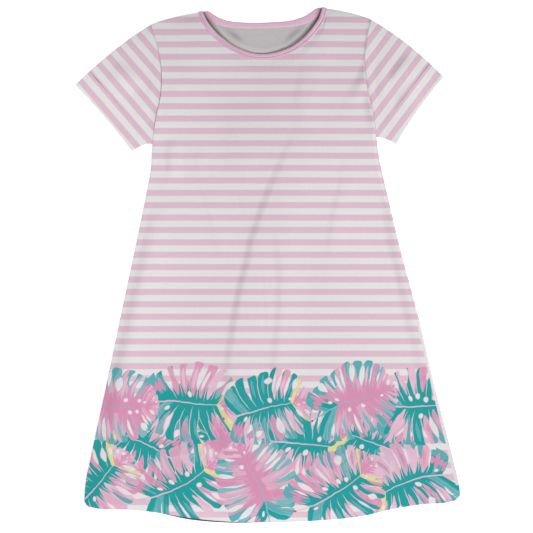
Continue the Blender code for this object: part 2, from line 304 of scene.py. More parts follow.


# The back inside the neck: painted shade along two lines that stand for shallow furrows, a band of painted
# light off the front edge, and painted shade right under that edge. Places are in mm.
neckInside = {
    "furrowShadeLines": (
        ((-54, 305), (-46, 297), (-38, 291), (-33, 288)),
        ((45, 307), (37, 300), (30, 294), (24, 288)),
    ),
    "furrowShadeWidth": 3.4,
    "furrowShadeTone": "#dfdce1",
    "litBand": ("#d9dad2", 8.5, 2.0, 0.8),  # painted light: the colour of a lighter band, from where to where off the edge, and how much
    "shade": "#37391f",  # painted shade: its colour right under that edge
    "deep": (2.0, 0.92),  # how fast the painted shade fades, and how deep it gets
    "above": 0.24,  # the height in metres from which it is worked out
}


def furrowShadeStrength(x, y):
    deepest = 0.0
    for line in neckInside["furrowShadeLines"]:
        away, along = nearLine(line, x, y)
        profile = math.exp(-(away / neckInside["furrowShadeWidth"]) ** 2)
        deepest = max(deepest, profile * math.sin(math.pi * (0.1 + 0.8 * along)))
    return deepest


def neckCorners(layer):
    left, right = leftPoints[-1].x, rightPoints[-1].x
    return [(neckOfPanel(layer, end).x - left) / (right - left) for end in (0.0, 1.0)]


def topEdge(layer, across):
    begin, end = neckCorners(layer)
    if begin <= across <= end:
        return neckOfPanel(layer, min(max((across - begin) / (end - begin), 0.0), 1.0))
    if across < begin:
        start, stop, share = leftPoints[-1], neckOfPanel(layer, 0.0), across / begin
    else:
        start, stop, share = neckOfPanel(layer, 1.0), rightPoints[-1], (across - end) / (1 - end)
    along = (stop - start).normalized()
    bulge = body["shoulderBulge"] * mm * 4 * share * (1 - share)
    return start.lerp(stop, share) + Vector((-along.y, along.x)) * bulge


def hemEdge(layer, across):
    drop = rowAt(body["hem"], layerColumn[layer], across) * mm
    return leftPoints[0].lerp(rightPoints[0], across) - Vector((0.0, drop))


neckLine = [tuple(neckOfPanel("front", i / 48) / mm) for i in range(49)]

# How the front lies: each crease is a line of places. The cloth climbs steeply over the first
# width, with the line in its middle, and falls again over the second width, to the left of the
# line as one walks it. Widths and heights are in mm.
frontDrape = {
    "air": 1.3,  # how far it stands off the back away from its seams
    "sideRoll": (22.0, 1.5),  # how wide the roll down to the left and to the right side seam is
    "rollGrows": (55.0, 40.0, 2.0),  # from which height, over how much of it and how far it widens
    "seamDrop": (2.2, 1.2),  # how wide its last drop onto the back is
    "held": (4.0, 1.5),  # how far in from the seams its creases end
    "atSeam": 0.25,  # how far it still stands off the back at its seams
    "belowArmpit": 24.0,  # how soon above the armpit the side seam has opened into the armhole
    "shoulderEnd": (6.0, 2.2),  # how far the shoulder seam fades in from the neck, and how wide its drop is
    "topReach": 16.0,  # how far from the top its air and its creases are full
    "hemReach": (0.35, 12.0),  # what is left of them at the hem, and how far from it they are full
    "airReach": (0.4, 80.0),  # what is left of the air at the top, and how far from it that is full
    "lowest": -0.55,
    "ripples": ((0.35, 70.0), (0.14, 24.0)),  # height and size
    "creases": (
        ("long diagonal", ((36, 176), (19, 138), (3, 102), (-11, 64), (-23, 28), (-27, 6), (-34, -20),
                           (-39.5, -45), (-46, -84), (-50, -110), (-55, -165), (-58, -220), (-60, -270)),
         12, 80, 3.1),
        ("beside it", ((8, 46), (12, 16), (14, -20), (13, -60), (8, -110), (3, -160), (-2, -215)),
         11, 36, 1.7),
        ("right chest", ((97, 140), (91, 99), (83, 64), (77, 32), (73, -4)), 8, 24, 0.8),
        ("left chest", ((-87, 108), (-78, 70), (-70, 41), (-62, 4)), 8, 26, 1.0),
        ("left of the armpit", ((-130, 162), (-128, 134), (-126, 108)), 10, 16, 2.0),
        ("left bust", ((-98, 146), (-93, 132), (-90, 116)), 10, 16, 0.7),
        ("middle of the chest", ((-56, 210), (-54, 170), (-48, 130), (-38, 92)), 34, 80, 1.8),
        ("right of the middle", ((44, 262), (40, 236), (36, 208), (38, 180)), 14, 36, 1.2),
        ("hollow of the chest", ((-14, 262), (-18, 190), (-16, 110), (-8, 10)), 86, 96, 2.6),
        ("from the right shoulder", ((132, 278), (121, 244), (103, 212)), 13, 40, 2.6),
        ("under the right arm", ((136, 232), (128, 206), (132, 186), (139, 162)), 16, 60, 3.6),
        ("from the left shoulder", ((-138, 262), (-118, 232), (-96, 204)), 12, 26, 1.2),
        ("under the left arm", ((-127, 240), (-125, 218), (-128, 196)), 8, 20, 0.5),
        ("left side", ((-145, 66), (-152, 40), (-161, 8), (-174, -50), (-188, -118), (-202, -190),
                       (-214, -250)), 20, 60, 1.9),
        ("left side, at its edge", ((-146, 84), (-154, 46), (-163, 4), (-177, -54), (-191, -120),
                                    (-205, -190), (-216, -240)), 12, 30, 1.4),
        ("right side", ((227, -255), (202, -157), (182, -71), (168, -10), (157, 28), (154, 50), (150, 84),
                        (143, 122)), 14, 70, -1.8),
        ("right side, at its edge", ((149, 92), (157, 46), (163, 4), (179, -72), (198, -150), (212, -210),
                                     (222, -250)), 13, 30, 0.9),
        ("right side, at its knee", ((176, -60), (164, -10), (152, 36), (146, 72)), 20, 40, -0.6),
        ("hem, left", ((-108, -206), (-112, -262), (-104, -330)), 26, 40, 2.0),
        ("hem, right", ((96, -196), (112, -262), (118, -330)), 28, 36, 1.6),
        ("hem, middle", ((20, -238), (12, -288), (14, -336)), 24, 34, 1.3),
    ),
}
backDrape = {
    "creases": (
        ("across the seat", ((-120, -40), (-30, -70), (70, -62)), 9, 20, 0.5),
        ("left skirt", ((-88, -140), (-96, -220), (-110, -290)), 10, 30, 0.5),
        ("right skirt", ((96, -120), (116, -210), (130, -280)), 10, 30, 0.5),
        ("shoulder blades", ((-70, 210), (0, 196), (66, 214)), 12, 26, 0.4),
    ),
}


def creaseLift(drape, x, y):
    lift = 0.0
    for _, line, steep, gentle, height in drape["creases"]:
        margin = steep + gentle
        if not (min(p[0] for p in line) - margin < x < max(p[0] for p in line) + margin):
            continue
        if not (min(p[1] for p in line) - margin < y < max(p[1] for p in line) + margin):
            continue
        away, along = nearLine(line, x, y)
        profile = ease(away / steep + 0.5) * (1 - ease((away - steep / 2) / gentle))
        lift += height * profile * math.sin(math.pi * (0.02 + 0.96 * along)) ** 0.8
    return lift


def frontHeight(x, y, toSide, toTop, toHem, up):  # the underside of the front, all in mm
    sideRoll, seamDrop, held = [frontDrape[key][x > 0] for key in ("sideRoll", "seamDrop", "held")]
    start, reach, more = frontDrape["rollGrows"]
    sideRoll *= 1 + more * ease((y - start) / reach)
    belowArm = 1 - ease((up - armpitPlace) * body["length"] / frontDrape["belowArmpit"])
    fadeIn, topDrop = frontDrape["shoulderEnd"]
    onShoulder = ease(max(neckLine[0][0] - x, x - neckLine[-1][0]) / fadeIn)
    closed = max(belowArm * (1 - ease(toSide / seamDrop)), onShoulder * (1 - ease(toTop / topDrop)))
    hemLeft, hemReach = frontDrape["hemReach"]
    airLeft, airReach = frontDrape["airReach"]
    fromTop, fromHem = ease(toTop / frontDrape["topReach"]), hemLeft + (1 - hemLeft) * ease(toHem / hemReach)
    rise = (1 - belowArm * (1 - ease(toSide / sideRoll))) * fromTop * fromHem
    air = frontDrape["air"] * (airLeft + (1 - airLeft) * ease(toTop / airReach))
    spot = Vector((x, y * 0.6, 3.0))
    ripple = sum(noise.noise(spot / size) * height for height, size in frontDrape["ripples"])
    firm = ease(toSide / held) * fromTop * fromHem
    lift = max((air + ripple) * rise + creaseLift(frontDrape, x, y) * firm, frontDrape["lowest"])
    if y > neckLine[24][1] - body["neckReach"]:
        away, along = nearLine(neckLine, x, y)
        lift += neckRise(along) * (1 - ease(abs(away) / body["neckReach"]))
    drop = body["frontLayer"] - body["wall"] - frontDrape["atSeam"]
    return body["frontLayer"] - drop * closed + lift


def backHeight(x, y, toSide, toTop, toHem, up):
    inside = ease(toSide / 12) * ease(toTop / 12)
    return creaseLift(backDrape, x, y) * inside


def panel(layer, height):
    begin, end = neckCorners(layer)
    left, middle, right = body["columns"]
    skirt, arm = body["rows"]
    columns = spread(0.0, begin, left, 0.7)[:-1] + spread(begin, end, middle)[:-1]
    columns += spread(end, 1.0, right, 0.7)
    rows = spread(0.0, armpitPlace, skirt, 0.1)[:-1] + spread(armpitPlace, 1.0, arm, 0.5)
    hemLine = [hemEdge(layer, c) for c in columns]
    topLine = [topEdge(layer, c) for c in columns]
    sides = [(sideAt(leftPoints, r), sideAt(rightPoints, r)) for r in rows]
    form = bmesh.new()
    # in mm from the right side, in shares of the neck's painted shade, in mm from the neck's front edge, and
    # in the strength of the painted furrow shade
    fromSeam, fromNeck, fromRim, furrowShade = [
        form.verts.layers.float.new(key) for key in ("fromSeam", "fromNeck", "fromRim", "furrowShade")]
    for v, i, j in gridPlaces(form, len(columns) - 1, len(rows) - 1):
        across, up = columns[i], rows[j]
        low = hemLine[i] - leftPoints[0].lerp(rightPoints[0], across)
        high = topLine[i] - leftPoints[-1].lerp(rightPoints[-1], across)
        place = sides[j][0].lerp(sides[j][1], across) + low * (1 - up) + high * up
        width = (sides[j][1] - sides[j][0]).length / mm
        toTop, toHem = (topLine[i].y - place.y) / mm, (place.y - hemLine[i].y) / mm
        toSide = min(across, 1 - across) * width
        v[fromSeam] = (1 - across) * width
        x, y = place.x / mm, place.y / mm
        if place.y > neckInside["above"]:
            v[fromNeck], v[fromRim] = neckShade(x, y), nearLine(openingLine, x, y)[0]
            v[furrowShade] = furrowShadeStrength(x, y)
        v.co = (place.x, place.y, height(x, y, toSide, toTop, toHem, up) * mm)
    return form


def panelPiece(name, layer, height, materials):
    form = panel(layer, height)
    piece = finishPiece(name, form, materials)
    thicken(piece, body["wall"] * mm, 1.0, 1)
    print(name, "has", len(piece.data.polygons), "faces on its printed side")
    return piece


# Cotton jersey, knitted: matt, with the soft bloom of loose fibres, so light slides over it.
cloth = {
    "shader": {"Roughness": 0.86, "Sheen Weight": 0.12, "Sheen Roughness": 0.5, "Metallic": 0.0, "IOR": 1.5,
               "Specular IOR Level": 0.25},
    "wale": 0.8,  # spacing of the columns of loops, in mm
    "course": 0.65,  # spacing of their rows
    "lean": 2.2,  # how far the legs of a loop lean apart
    "loops": 0.35,  # how much the rows show beside the columns
    "fuzz": (1400.0, 0.6),  # how fine the loose fibres are, and how much they show
    "knitDepth": 0.03,
    "mottle": (260.0, 4.0),  # how fine its blotches are, and their detail
    # the unprinted reverse: pale grey, made darker still with painted shade for where it lies under the front
    "inside": "#bdb8ba",
}
jerseyPrint = {
    "white": "#d7d5d6",
    "pink": "#d1b2c1",
    "repeat": 15.88,
    "pinkWidth": 7.7,
    "firstEdge": 318.4,  # height of the top edge of one pink stripe
    "softness": 0.25,  # how far the ink's edge bleeds
    "bareStrip": 2.8,  # how wide the unprinted strip at the right side seam is
    "bareFrom": (-283.0, -77.0),  # between which heights
    "seamShade": ("#e9e6e8", 3.2),  # painted shade: how the cloth darkens toward that seam, and from how far in
}


def knitNormal(tree, coords, depth=1.0):  # rows of small loops, as a bump
    split = addNode(tree, "ShaderNodeSeparateXYZ", Vector=coords).outputs
    turn = reckon(tree, "MULTIPLY", split["X"], math.tau / (cloth["wale"] * mm))
    legs = reckon(tree, "ABSOLUTE", reckon(tree, "SINE", turn))
    lean = reckon(tree, "MULTIPLY", legs, cloth["lean"])
    upward = reckon(tree, "MULTIPLY_ADD", split["Y"], math.tau / (cloth["course"] * mm), lean)
    knit = reckon(tree, "MULTIPLY_ADD", reckon(tree, "SINE", upward), cloth["loops"], legs)
    fineness, share = cloth["fuzz"]
    height = reckon(tree, "MULTIPLY_ADD", unevenness(tree, coords, fineness, 2.0), share, knit)
    return addNode(tree, "ShaderNodeBump", Strength=0.5, Distance=cloth["knitDepth"] * mm * depth,
                   Height=height).outputs[0]


def newCloth(name):  # a material with a shader set up as cotton jersey
    material = bpy.data.materials.new(name)
    shader = setShader(material, cloth["shader"])
    coords = addNode(material.node_tree, "ShaderNodeTexCoord").outputs["Object"]
    return material, material.node_tree, shader, coords


def stripes(tree, height):  # pink and white by a height in metres, as a colour
    repeat = jerseyPrint["repeat"]
    fall = reckon(tree, "MULTIPLY_ADD", height, -1 / (repeat * mm), jerseyPrint["firstEdge"] / repeat)
    pinkShare, soft = jerseyPrint["pinkWidth"] / repeat, jerseyPrint["softness"] / repeat
    offMiddle = reckon(tree, "SUBTRACT", reckon(tree, "FRACT", fall), pinkShare / 2)
    away = reckon(tree, "PINGPONG", offMiddle, 0.5)
    edge = remap(tree, away, pinkShare / 2 + soft / 2, pinkShare / 2 - soft / 2, way="SMOOTHSTEP")
    return mixInks(tree, edge, linear(jerseyPrint["white"]), linear(jerseyPrint["pink"]))


def mottled(tree, colour, coords, amount=0.015):  # ink and yarn take up colour a little unevenly
    change = remap(tree, unevenness(tree, coords, *cloth["mottle"]), 0.3, 0.7, 1 - amount, 1 + amount)
    return addNode(tree, "ShaderNodeHueSaturation", Value=change, Color=colour).outputs[0]


# The leaf border: big split leaves, printed over the stripes. Along and across are measured
# in leaf lengths from the foot of the blade, and places in mm.
leafPrint = {
    "layers": 5,  # leaves that may lie over one place
    "length": (84.0, 97.0),
    "aspect": 1.34,  # wider than long
    "fingers": 11.0,  # from foot to tip on each half
    "rows": (  # height, count, first place, and the two ways in which its leaves point, in degrees
        (-224.0, 4, -158.0, (-60, 30), (150, 240)),
        (-180.0, 5, -200.0, (-32, 22), (150, 205)),
        (-282.0, 5, -214.0, (-35, 65), (115, 215)),
    ),
    "pitch": 101.0,
    "scatter": 9.0,
    "bend": 0.22,  # how far a midrib may bow
    "rosyOnes": (1, 4, 8),  # of every ten leaves
    "margin": (  # how far the blade reaches from its midrib, by where its veins start
        (0.000, 0.0), (0.018, 0.13), (0.061, 0.225), (0.123, 0.29), (0.211, 0.365), (0.298, 0.415),
        (0.386, 0.445), (0.474, 0.43), (0.561, 0.385), (0.649, 0.31), (0.737, 0.22), (0.825, 0.135),
        (0.912, 0.06), (1.000, 0.0),
    ),
    "marginStart": -0.14,
}
ink = {
    "darkTeal": "#0f9493", "teal": "#2a999d", "midTeal": "#56a2a8", "lightTeal": "#79adb4", "rose": "#cd87a8",
    "pink": "#d39eb6", "palePink": "#d6b0c3", "yellow": "#d4cb8c", "deepPink": "#c34e83",
    "white": "#d7d5d6",
}
fingerInks = {
    "bold": ((0.0, "rose"), (0.55, "midTeal"), (0.66, "pink"), (0.86, "palePink")),
    "quiet": ((0.0, "palePink"), (0.25, "pink"), (0.50, "rose"), (0.86, "midTeal")),
    "rosy": ((0.0, "rose"), (0.4, "pink"), (0.75, "rose")),
}
# Each step has a name, what it does, and what goes in: a number, an ink or an earlier step. Where
# more is done to it in the same row, each result goes into the next one first. noise and hash
# give three values, named with A, B and C.
leafSteps = (
    ("wobble", "noise", "along", "across", "leaf", 2.2),
    ("tremble", "noise", "along", "across", "leaf", 13.0),
    ("wobbleA", "SUBTRACT", "wobbleA", 0.5),
    ("wobbleB", "SUBTRACT", "wobbleB", 0.5),
    ("trembleA", "SUBTRACT", "trembleA", 0.5),
    ("trembleB", "SUBTRACT", "trembleB", 0.5),
    ("alongSoft", "MULTIPLY_ADD", "wobbleA", 0.10, "along"),
    ("alongDrawn", "MULTIPLY_ADD", "trembleA", 0.016, "alongSoft"),
    ("acrossSoft", "MULTIPLY_ADD", "wobbleB", 0.06, "across"),
    ("acrossDrawn", "MULTIPLY_ADD", "trembleB", 0.016, "acrossSoft"),
    # veins fan out from the midrib, and halves differ: one is bold and one is quiet
    ("own", "hash", "leaf", 3.0, 1.0),
    ("half", "GREATER_THAN", "acrossDrawn", 0.0),
    ("away", "ABSOLUTE", "acrossDrawn"),
    ("fanOut", "MULTIPLY_ADD", "away", 2.8, 1.0),
    ("swept", "MULTIPLY_ADD", "away", 1.2, "alongDrawn"),
    ("vein", "MULTIPLY", "away", "away", "MULTIPLY_ADD", -0.9, "swept", "DIVIDE", "fanOut"),
    ("reach", "curve", "vein"),
    ("reachSafe", "MAXIMUM", "reach", 0.0005),
    ("out", "DIVIDE", "away", "reachSafe"),  # 0 on the midrib and 1 on the margin
    ("turnedOver", "GREATER_THAN", "ownC", 0.5),
    ("bold", "SUBTRACT", "half", "turnedOver", "ABSOLUTE"),
    ("notRosy", "SUBTRACT", 1.0, "rosy"),
    # fingers between the veins
    ("shift", "MULTIPLY_ADD", "half", 0.37, "ownB"),
    ("finger", "MULTIPLY_ADD", "vein", "fingers", "shift"),
    ("fromGap", "PINGPONG", "finger", 0.5),
    ("gapNumber", "ROUND", "finger"),
    ("halfKey", "ADD", "half", 2.0),
    ("gap", "hash", "gapNumber", "halfKey", "leaf"),
    ("fingerNumber", "FLOOR", "finger"),
    ("fill", "hash", "fingerNumber", "halfKey", "leaf"),
    ("mark", "hash", "fingerNumber", "leaf", "halfKey"),
    # slits between the fingers
    ("slitFrom", "MULTIPLY_ADD", "gapA", 0.34, 0.24),
    ("slitTo", "MULTIPLY_ADD", "gapB", 0.48, 0.74),
    ("slitLength", "SUBTRACT", "slitTo", "slitFrom"),
    ("inSlit", "SUBTRACT", "out", "slitFrom", "DIVIDE", "slitLength"),
    ("restOfSlit", "SUBTRACT", 1.0, "inSlit"),
    ("slitBreadth", "MULTIPLY_ADD", "gapC", 1.5, -0.08, "MAXIMUM", 0.0),
    ("slitWidth", "MULTIPLY", "inSlit", "restOfSlit", "MAXIMUM", 0.0, "MULTIPLY", "slitBreadth"),
    ("beyondLobe", "GREATER_THAN", "vein", 0.02),
    ("slit", "LESS_THAN", "fromGap", "slitWidth", "MULTIPLY", "beyondLobe"),
    ("slitOpens", "GREATER_THAN", "slitTo", 1.0),
    ("cut", "MULTIPLY", "slit", "slitOpens"),
    # round holes beside the midrib
    ("holePlace", "MULTIPLY_ADD", "gapB", 0.08, 0.15),
    ("holeOutShare", "SUBTRACT", "out", "holePlace", "DIVIDE", 0.055),
    ("holeOutSquared", "MULTIPLY", "holeOutShare", "holeOutShare"),
    ("holeSide", "DIVIDE", "fromGap", 0.24),
    ("holeSpread", "MULTIPLY_ADD", "holeSide", "holeSide", "holeOutSquared"),
    ("hasHole", "GREATER_THAN", "gapA", 0.78),
    ("hole", "LESS_THAN", "holeSpread", 1.0, "MULTIPLY", "hasHole"),
    ("holeRim", "LESS_THAN", "holeSpread", 1.6, "MULTIPLY", "hasHole"),
    # the fingers end round and uneven
    ("cornerSharp", "MULTIPLY_ADD", "fromGap", -2.0, 1.0, "POWER", 5.0),
    ("shorterFinger", "MULTIPLY_ADD", "fillB", 0.5, "cornerSharp", "MULTIPLY", "beyondLobe"),
    ("fingerEnd", "MULTIPLY_ADD", "shorterFinger", -0.2, 1.0),
    ("hasReach", "GREATER_THAN", "reach", 0.004),
    # brush strokes along the veins, two to a finger
    ("stroke", "MULTIPLY", "finger", 2.0),
    ("strokeNumber", "FLOOR", "stroke"),
    ("strokeEdge", "FRACT", "stroke", "MULTIPLY_ADD", 2.0, -1.0, "ABSOLUTE"),
    ("point", "SUBTRACT", 1.0, "strokeEdge", "POWER", 0.55),
    ("strokeKey", "ADD", "half", 5.0),
    ("dash", "hash", "strokeNumber", "strokeKey", "leaf"),
    ("bristleAcross", "MULTIPLY", "finger", 5.0),
    ("bristle", "noise", "bristleAcross", "out", "leaf", 1.6),
    ("bristled", "GREATER_THAN", "bristleA", 0.56),
    ("bristleShare", "MULTIPLY", "bristled", 0.35),
    # each finger's own ink starts in a point beyond the dark web along the midrib
    ("wholeShare", "MULTIPLY_ADD", "bold", 0.30, 0.03),
    ("webEnd", "MULTIPLY_ADD", "bold", 0.09, 0.06),
    ("webUneven", "MULTIPLY_ADD", "fillB", 0.16, "webEnd"),
    ("webOfFinger", "LESS_THAN", "fillA", "wholeShare", "MULTIPLY_ADD", 2.0, "webUneven"),
    ("openHeld", "SUBTRACT", "out", "webOfFinger", "MULTIPLY", 2.6, "MAXIMUM", 0.0, "MINIMUM", 1.0),
    ("strip", "MULTIPLY_ADD", "markA", 0.16, 0.09, "MULTIPLY", "bold"),
    ("fillMiddle", "ADD", "strip", 0.5),
    ("fillRest", "MULTIPLY_ADD", "strip", -0.9, 0.49),
    ("fillWidth", "POWER", "openHeld", 0.6, "MULTIPLY", "fillRest"),
    ("filled", "FRACT", "finger", "SUBTRACT", "fillMiddle", "ABSOLUTE", "LESS_THAN", "fillWidth"),
    # inks
    ("boldFill", "ramp", "fillC", "bold"),
    ("quietFill", "ramp", "fillC", "quiet"),
    ("rosyFill", "ramp", "fillA", "rosy"),
    ("tealLeafFill", "mix", "bold", "quietFill", "boldFill"),
    ("baseFill", "mix", "rosy", "tealLeafFill", "rosyFill"),
    ("bristleInk", "mix", "rosy", "pink", "palePink"),
    ("brushed", "mix", "bristleShare", "baseFill", "bristleInk"),
    # strokes that run in from the margin
    ("outerPoint", "MULTIPLY", "dashB", 0.8, "MULTIPLY", "point"),
    ("outerFrom", "SUBTRACT", 1.0, "outerPoint"),
    ("hasOuter", "GREATER_THAN", "dashC", 0.62),
    ("outer", "GREATER_THAN", "out", "outerFrom", "MULTIPLY", "hasOuter"),
    ("outerInk", "mix", "rosy", "midTeal", "lightTeal"),
    ("withOuter", "mix", "outer", "brushed", "outerInk"),
    ("farFrom", "MULTIPLY_ADD", "dashB", "point", 0.45),
    ("hasFar", "GREATER_THAN", "fillC", 0.35),
    ("far", "GREATER_THAN", "out", "farFrom", "MULTIPLY", "rosy", "MULTIPLY", "hasFar"),
    ("withFar", "mix", "far", "withOuter", "midTeal"),
    # a slim stroke down the middle of most fingers
    ("streakShare", "MULTIPLY_ADD", "out", 1.9, -0.6),
    ("restOfStreak", "SUBTRACT", 1.0, "streakShare"),
    ("streakBreadth", "GREATER_THAN", "markB", 0.35, "MULTIPLY", 0.62),
    ("streakWidth", "MULTIPLY", "streakShare", "restOfStreak", "MULTIPLY", "streakBreadth"),
    ("streak", "SUBTRACT", 0.5, "fromGap", "LESS_THAN", "streakWidth"),
    ("roseOrTeal", "GREATER_THAN", "markC", 0.6),
    ("streakOfRosy", "mix", "roseOrTeal", "palePink", "lightTeal"),
    ("streakOfPink", "mix", "roseOrTeal", "rose", "palePink"),
    ("streakColoured", "mix", "rosy", "streakOfPink", "streakOfRosy"),
    ("streakBlank", "GREATER_THAN", "markB", 0.87),
    ("streakInk", "mix", "streakBlank", "streakColoured", "white"),
    ("withStreak", "mix", "streak", "withFar", "streakInk"),
    # dark ink of a teal leaf, and rose strokes of a rosy one
    ("darkPlain", "mix", "bristleShare", "darkTeal", "teal"),
    ("darkBrushed", "mix", "streak", "darkPlain", "midTeal"),
    ("rosySpikeLong", "MULTIPLY", "dashA", 0.42, "MULTIPLY_ADD", "point", 0.12),
    ("innerOfRosy", "LESS_THAN", "out", "rosySpikeLong", "MULTIPLY", "rosy"),
    ("innerOfTeal", "SUBTRACT", 1.0, "filled", "MULTIPLY", "notRosy"),
    ("withRose", "mix", "innerOfRosy", "withStreak", "rose"),
    ("withInner", "mix", "innerOfTeal", "withRose", "darkBrushed"),
    # pale outlines beside each slit and vein
    ("lineInk", "mix", "rosy", "palePink", "lightTeal"),
    ("lineWidth", "MULTIPLY_ADD", "out", -0.018, 0.05),
    ("outlineRaw", "GREATER_THAN", "slitWidth", 0.0, "MULTIPLY_ADD", 0.02, "lineWidth"),
    ("lineLate", "MULTIPLY_ADD", "gapA", -0.9, -0.35),
    ("lineGrown", "MULTIPLY_ADD", "out", 7.0, "lineLate", "MINIMUM", 1.0),
    ("outlineWidth", "MULTIPLY", "outlineRaw", "lineGrown", "ADD", "slitWidth"),
    ("line", "LESS_THAN", "fromGap", "outlineWidth"),
    ("withLines", "mix", "line", "withInner", "lineInk"),
    # the tip is pale, with a yellow wedge behind it
    ("atTip", "GREATER_THAN", "vein", 0.69),
    ("tipStreak", "GREATER_THAN", "dashB", 0.5),
    ("tipInk", "mix", "tipStreak", "palePink", "pink"),
    ("tipSpikeLong", "MULTIPLY", "point", "dashA"),
    ("tipSpike", "LESS_THAN", "out", "tipSpikeLong"),
    ("tipRose", "mix", "tipSpike", "tipInk", "rose"),
    ("withTip", "mix", "atTip", "withLines", "tipRose"),
    ("wedgeBase", "MULTIPLY_ADD", "bold", 0.018, 0.007),
    ("wedgeWidth", "MULTIPLY_ADD", "out", 0.014, "wedgeBase"),
    ("wedgeRaw", "SUBTRACT", "vein", 0.675, "ABSOLUTE", "LESS_THAN", "wedgeWidth"),
    ("wedge", "MULTIPLY", "wedgeRaw", "notRosy"),
    ("withWedge", "mix", "wedge", "withTip", "yellow"),
    # the lobes at its foot, one with a ragged patch
    ("inLobe", "LESS_THAN", "vein", 0.05),
    ("lobeDark", "LESS_THAN", "out", "dashA"),
    ("lobeInk", "mix", "lobeDark", "midTeal", "darkTeal"),
    ("patchPoint", "MULTIPLY_ADD", "dashB", 0.25, 0.1, "MULTIPLY", "point"),
    ("patch", "SUBTRACT", "out", 0.55, "ABSOLUTE", "LESS_THAN", "patchPoint"),
    ("patched", "mix", "patch", "lobeInk", "rose"),
    ("plainLobe", "mix", "bristled", "midTeal", "lightTeal"),
    ("lobeFoot", "LESS_THAN", "vein", -0.055),
    ("rimmedLobe", "mix", "lobeFoot", "plainLobe", "darkTeal"),
    ("lobeFill", "mix", "bold", "patched", "rimmedLobe"),
    ("withLobe", "mix", "inLobe", "withWedge", "lobeFill"),
    ("midribWidth", "SUBTRACT", 1.15, "alongDrawn", "MULTIPLY", 0.0065),
    ("midrib", "LESS_THAN", "away", "midribWidth"),
    ("withMidrib", "mix", "midrib", "withLobe", "lineInk"),
    ("withRims", "mix", "holeRim", "withMidrib", "palePink"),
    ("blank", "SUBTRACT", "slit", "cut", "MAXIMUM", "hole"),
    ("withBlanks", "mix", "blank", "withRims", "white"),
    # pale ink lets the stripes through a little
    ("kept", "SUBTRACT", 1.0, "cut"),
    ("blade", "LESS_THAN", "out", "fingerEnd", "MULTIPLY", "hasReach", "MULTIPLY", "kept"),
    ("dense", "MAXIMUM", "innerOfTeal", "outer", "MAXIMUM", "inLobe", "MAXIMUM", "rosy"),
    ("density", "MULTIPLY_ADD", "dense", 0.14, 0.86),
    # the stalk, with a bud of deep pink at its end
    ("stalkBend", "MULTIPLY_ADD", "ownB", 0.8, -0.4),
    ("stalkBow", "MULTIPLY", "along", "along", "MULTIPLY", "stalkBend"),
    ("offStalk", "SUBTRACT", "acrossDrawn", "stalkBow"),
    ("belowBlade", "LESS_THAN", "along", 0.0),
    ("aboveBud", "GREATER_THAN", "along", -0.38),
    ("stalkBelow", "ABSOLUTE", "offStalk", "LESS_THAN", 0.0065, "MULTIPLY", "belowBlade"),
    ("stalk", "MULTIPLY", "stalkBelow", "aboveBud"),
    ("withStalk", "mix", "stalk", "withBlanks", "lineInk"),
    ("fromBud", "ADD", "along", 0.38),
    ("fromBudSquared", "MULTIPLY", "fromBud", "fromBud"),
    ("budAcross", "MULTIPLY", "offStalk", 1.34),
    ("bud", "MULTIPLY_ADD", "budAcross", "budAcross", "fromBudSquared", "LESS_THAN", 0.00042),
    ("colour", "mix", "bud", "withStalk", "deepPink"),
    ("cover", "MULTIPLY", "blade", "density", "MAXIMUM", "stalk", "MAXIMUM", "bud"),
)


def inTurn(tree, words):  # one math node after another, each fed first with the last one's result
    result = []
    while words:
        count = 1
        while count < len(words) and not isinstance(words[count], str):
            count += 1
        result = [reckon(tree, words[0], *result, *words[1:count])]
        words = words[count:]
    return result[0]


def followSteps(tree, steps, known):  # draws the steps as nodes, and adds each result to what is known
    def read(value):
        if isinstance(value, str) and not value.isupper():
            return linear(ink[value]) if value in ink else known[value]
        return value

    for name, action, *given in steps:
        if action == "mix":
            known[name] = mixInks(tree, *[read(value) for value in given])
        elif action == "ramp":
            ramp = addNode(tree, "ShaderNodeValToRGB", Fac=read(given[0]))
            ramp.color_ramp.interpolation = "CONSTANT"
            stops = fingerInks[given[1]]
            while len(ramp.color_ramp.elements) < len(stops):
                ramp.color_ramp.elements.new(1.0)
            for element, (place, code) in zip(ramp.color_ramp.elements, stops):
                element.position = place
                element.color = linear(ink[code])
            known[name] = ramp.outputs["Color"]
        elif action == "curve":
            share = remap(tree, read(given[0]), leafPrint["marginStart"], 1.0)
            curve = addNode(tree, "ShaderNodeFloatCurve", Value=share)
            points = curve.mapping.curves[0].points
            while len(points) < len(leafPrint["margin"]):
                points.new(0.5, 0.5)
            for point, place in zip(points, leafPrint["margin"]):
                point.location = place
            curve.mapping.update()
            known[name] = curve.outputs[0]
        elif action in ("hash", "noise"):
            x, y, z = [read(value) for value in given[:3]]
            place = addNode(tree, "ShaderNodeCombineXYZ", n0=x, n1=y, n2=z).outputs[0]
            settings = {"noise_dimensions": "3D"}
            if action == "hash":
                made = addNode(tree, "ShaderNodeTexWhiteNoise", settings, Vector=place)
            else:
                made = addNode(tree, "ShaderNodeTexNoise", settings, Vector=place, Scale=given[3], Detail=0.0)
            parts = addNode(tree, "ShaderNodeSeparateColor", Color=made.outputs["Color"])
            for letter, socket in zip("ABC", parts.outputs):
                known[name + letter] = socket
        else:
            known[name] = inTurn(tree, [action] + [read(value) for value in given])
    return known


